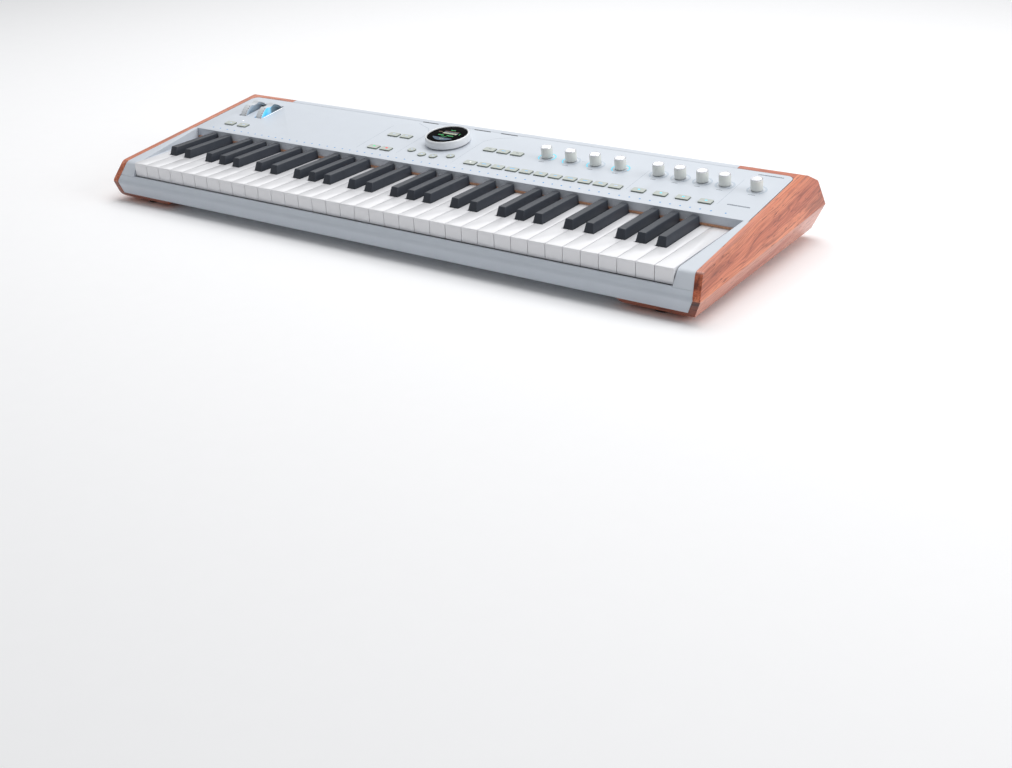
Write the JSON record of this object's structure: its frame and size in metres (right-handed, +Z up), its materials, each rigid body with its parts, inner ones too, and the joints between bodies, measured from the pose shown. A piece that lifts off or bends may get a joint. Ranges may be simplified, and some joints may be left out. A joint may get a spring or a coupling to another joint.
{
  "type": "keyboard synthesizer",
  "caption": "Stage keyboard synthesizer with piano-style keys, a sloping control panel with round display, knobs, buttons and two wheels, and wrapped wooden ends.",
  "frame": {"origin": "middle of the footprint, on the surface the feet stand on", "axes": "+X to the player's right, +Y to the rear, +Z up"},
  "size_m": [0.935, 0.326, 0.0952],
  "materials": {
    "panel": "satin light blue-grey paint",
    "rail": "satin blue-grey paint",
    "shell": "satin light blue-grey paint",
    "wood": "oiled reddish-brown veneer, grain along the length",
    "rubber": "matt",
    "screw": "blackened",
    "frame_steel": "zinc-plated",
    "felt": "copper-coloured felt",
    "board": "solder mask",
    "dark_plastic": "fine texture",
    "socket_metal": "plated",
    "key_light": "lit light pipes",
    "ring_light": "light pipes",
    "white_key": "gloss",
    "black_key": "satin",
    "knob": "fine matt with a polished top",
    "button": "satin",
    "wheel": "satin",
    "glow_wheel": "lit from inside",
    "screen_glass": "black glass",
    "nav_metal": "satin anodised"
  },
  "bodies": {
    "case": {"bottom_case": "shell", "top_panel": "panel", "rear_panel": "shell", "front_rail": "rail", "left_cheek_block": "panel", "right_cheek_block": "panel", "left_wood_end": "wood", "right_wood_end": "wood", "rubber_feet": "rubber", "case_screws": "screw", "key_frame": "frame_steel", "key_pivot_rail": "frame_steel", "key_springs": "frame_steel", "key_felt": "felt", "key_contact_board": "board", "key_rubber_contacts": "rubber", "main_board": "board", "panel_board": "board", "button_switches": "dark_plastic", "encoders": "socket_metal", "key_lights": "key_light", "knob_light_rings": "ring_light", "wheel_bracket": "frame_steel", "jack_sockets": "dark_plastic", "midi_sockets": "dark_plastic", "data_sockets": "socket_metal", "power_inlet": "dark_plastic"},
    "keys_c": {"keys_c": "white_key"},
    "keys_c_sharp": {"keys_c_sharp": "black_key"},
    "keys_d": {"keys_d": "white_key"},
    "keys_d_sharp": {"keys_d_sharp": "black_key"},
    "keys_e": {"keys_e": "white_key"},
    "keys_f": {"keys_f": "white_key"},
    "keys_f_sharp": {"keys_f_sharp": "black_key"},
    "keys_g": {"keys_g": "white_key"},
    "keys_g_sharp": {"keys_g_sharp": "black_key"},
    "keys_a": {"keys_a": "white_key"},
    "keys_a_sharp": {"keys_a_sharp": "black_key"},
    "keys_b": {"keys_b": "white_key"},
    "knob_macro_1": {"knob_macro_1": "knob"},
    "knob_macro_2": {"knob_macro_2": "knob"},
    "knob_macro_3": {"knob_macro_3": "knob"},
    "knob_macro_4": {"knob_macro_4": "knob"},
    "knob_effect_1": {"knob_effect_1": "knob"},
    "knob_effect_2": {"knob_effect_2": "knob"},
    "knob_effect_3": {"knob_effect_3": "knob"},
    "knob_effect_4": {"knob_effect_4": "knob"},
    "knob_volume": {"knob_volume": "knob"},
    "nav_push": {"nav_screen": "screen_glass"},
    "nav_ring": {"nav_ring": "nav_metal"},
    "pitch_wheel": {"pitch_wheel": "wheel"},
    "mod_wheel": {"mod_wheel": "glow_wheel"},
    "octave_buttons": {"octave_buttons": "button"},
    "edit_buttons": {"edit_buttons": "button"},
    "transport_buttons": {"transport_buttons": "button"},
    "screen_buttons": {"screen_buttons": "button"},
    "browse_buttons": {"browse_buttons": "button"},
    "category_buttons": {"category_buttons": "button"},
    "effect_buttons": {"effect_buttons": "button"},
    "power_button": {"power_button": "dark_plastic"}
  },
  "joints": [
    {"name": "keys_c_press", "type": "hinge", "parent": "case", "child": "keys_c", "pos_m": [0, 0.03376, 0.046], "axis": [1, 0, 0], "range_deg": [0, 3], "stiffness_Nm_per_rad": 1, "springref_deg": -34.38},
    {"name": "keys_c_sharp_press", "type": "hinge", "parent": "case", "child": "keys_c_sharp", "pos_m": [0, 0.03376, 0.046], "axis": [1, 0, 0], "range_deg": [0, 3], "stiffness_Nm_per_rad": 1, "springref_deg": -34.38},
    {"name": "keys_d_press", "type": "hinge", "parent": "case", "child": "keys_d", "pos_m": [0, 0.03376, 0.046], "axis": [1, 0, 0], "range_deg": [0, 3], "stiffness_Nm_per_rad": 1, "springref_deg": -34.38},
    {"name": "keys_d_sharp_press", "type": "hinge", "parent": "case", "child": "keys_d_sharp", "pos_m": [0, 0.03376, 0.046], "axis": [1, 0, 0], "range_deg": [0, 3], "stiffness_Nm_per_rad": 1, "springref_deg": -34.38},
    {"name": "keys_e_press", "type": "hinge", "parent": "case", "child": "keys_e", "pos_m": [0, 0.03376, 0.046], "axis": [1, 0, 0], "range_deg": [0, 3], "stiffness_Nm_per_rad": 1, "springref_deg": -34.38},
    {"name": "keys_f_press", "type": "hinge", "parent": "case", "child": "keys_f", "pos_m": [0, 0.03376, 0.046], "axis": [1, 0, 0], "range_deg": [0, 3], "stiffness_Nm_per_rad": 1, "springref_deg": -34.38},
    {"name": "keys_f_sharp_press", "type": "hinge", "parent": "case", "child": "keys_f_sharp", "pos_m": [0, 0.03376, 0.046], "axis": [1, 0, 0], "range_deg": [0, 3], "stiffness_Nm_per_rad": 1, "springref_deg": -34.38},
    {"name": "keys_g_press", "type": "hinge", "parent": "case", "child": "keys_g", "pos_m": [0, 0.03376, 0.046], "axis": [1, 0, 0], "range_deg": [0, 3], "stiffness_Nm_per_rad": 1, "springref_deg": -34.38},
    {"name": "keys_g_sharp_press", "type": "hinge", "parent": "case", "child": "keys_g_sharp", "pos_m": [0, 0.03376, 0.046], "axis": [1, 0, 0], "range_deg": [0, 3], "stiffness_Nm_per_rad": 1, "springref_deg": -34.38},
    {"name": "keys_a_press", "type": "hinge", "parent": "case", "child": "keys_a", "pos_m": [0, 0.03376, 0.046], "axis": [1, 0, 0], "range_deg": [0, 3], "stiffness_Nm_per_rad": 1, "springref_deg": -34.38},
    {"name": "keys_a_sharp_press", "type": "hinge", "parent": "case", "child": "keys_a_sharp", "pos_m": [0, 0.03376, 0.046], "axis": [1, 0, 0], "range_deg": [0, 3], "stiffness_Nm_per_rad": 1, "springref_deg": -34.38},
    {"name": "keys_b_press", "type": "hinge", "parent": "case", "child": "keys_b", "pos_m": [0, 0.03376, 0.046], "axis": [1, 0, 0], "range_deg": [0, 3], "stiffness_Nm_per_rad": 1, "springref_deg": -34.38},
    {"name": "knob_macro_1_turn", "type": "hinge", "parent": "case", "child": "knob_macro_1", "pos_m": [0.1225, 0.06819, 0.07945], "axis": [0, -0.1177, 0.993], "continuous": true},
    {"name": "knob_macro_2_turn", "type": "hinge", "parent": "case", "child": "knob_macro_2", "pos_m": [0.159, 0.06819, 0.07945], "axis": [0, -0.1177, 0.993], "continuous": true},
    {"name": "knob_macro_3_turn", "type": "hinge", "parent": "case", "child": "knob_macro_3", "pos_m": [0.1955, 0.06819, 0.07945], "axis": [0, -0.1177, 0.993], "continuous": true},
    {"name": "knob_macro_4_turn", "type": "hinge", "parent": "case", "child": "knob_macro_4", "pos_m": [0.232, 0.06819, 0.07945], "axis": [0, -0.1177, 0.993], "continuous": true},
    {"name": "knob_effect_1_turn", "type": "hinge", "parent": "case", "child": "knob_effect_1", "pos_m": [0.286, 0.06819, 0.07945], "axis": [0, -0.1177, 0.993], "continuous": true},
    {"name": "knob_effect_2_turn", "type": "hinge", "parent": "case", "child": "knob_effect_2", "pos_m": [0.316, 0.06819, 0.07945], "axis": [0, -0.1177, 0.993], "continuous": true},
    {"name": "knob_effect_3_turn", "type": "hinge", "parent": "case", "child": "knob_effect_3", "pos_m": [0.346, 0.06819, 0.07945], "axis": [0, -0.1177, 0.993], "continuous": true},
    {"name": "knob_effect_4_turn", "type": "hinge", "parent": "case", "child": "knob_effect_4", "pos_m": [0.376, 0.06819, 0.07945], "axis": [0, -0.1177, 0.993], "continuous": true},
    {"name": "knob_volume_turn", "type": "hinge", "parent": "case", "child": "knob_volume", "pos_m": [0.4174, 0.06819, 0.07945], "axis": [0, -0.1177, 0.993], "continuous": true},
    {"name": "nav_press", "type": "slide", "parent": "case", "child": "nav_push", "axis": [0, 0.1177, -0.993], "range_m": [0, 0.0006], "stiffness_N_per_m": 800, "springref_m": -0.002},
    {"name": "nav_turn", "type": "hinge", "parent": "nav_push", "child": "nav_ring", "pos_m": [-0.0365, 0.0664, 0.07924], "axis": [0, -0.1177, 0.993], "continuous": true},
    {"name": "pitch_wheel_turn", "type": "hinge", "parent": "case", "child": "pitch_wheel", "pos_m": [-0.4067, 0.07618, 0.06298], "axis": [1, 0, 0], "range_deg": [-27, 27], "stiffness_Nm_per_rad": 0.05},
    {"name": "mod_wheel_turn", "type": "hinge", "parent": "case", "child": "mod_wheel", "pos_m": [-0.3757, 0.07618, 0.06298], "axis": [1, 0, 0], "range_deg": [-27, 27]},
    {"name": "octave_buttons_press", "type": "slide", "parent": "case", "child": "octave_buttons", "axis": [0, 0.1177, -0.993], "range_m": [0, 0.0008], "stiffness_N_per_m": 400, "springref_m": -0.003},
    {"name": "edit_buttons_press", "type": "slide", "parent": "case", "child": "edit_buttons", "axis": [0, 0.1177, -0.993], "range_m": [0, 0.0008], "stiffness_N_per_m": 400, "springref_m": -0.003},
    {"name": "transport_buttons_press", "type": "slide", "parent": "case", "child": "transport_buttons", "axis": [0, 0.1177, -0.993], "range_m": [0, 0.0008], "stiffness_N_per_m": 400, "springref_m": -0.003},
    {"name": "screen_buttons_press", "type": "slide", "parent": "case", "child": "screen_buttons", "axis": [0, 0.1177, -0.993], "range_m": [0, 0.0008], "stiffness_N_per_m": 400, "springref_m": -0.003},
    {"name": "browse_buttons_press", "type": "slide", "parent": "case", "child": "browse_buttons", "axis": [0, 0.1177, -0.993], "range_m": [0, 0.0008], "stiffness_N_per_m": 400, "springref_m": -0.003},
    {"name": "category_buttons_press", "type": "slide", "parent": "case", "child": "category_buttons", "axis": [0, 0.1177, -0.993], "range_m": [0, 0.0008], "stiffness_N_per_m": 400, "springref_m": -0.003},
    {"name": "effect_buttons_press", "type": "slide", "parent": "case", "child": "effect_buttons", "axis": [0, 0.1177, -0.993], "range_m": [0, 0.0008], "stiffness_N_per_m": 400, "springref_m": -0.003},
    {"name": "power_button_press", "type": "slide", "parent": "case", "child": "power_button", "axis": [0, -1, 0], "range_m": [0, 0.0015], "stiffness_N_per_m": 400, "springref_m": -0.003}
  ]
}
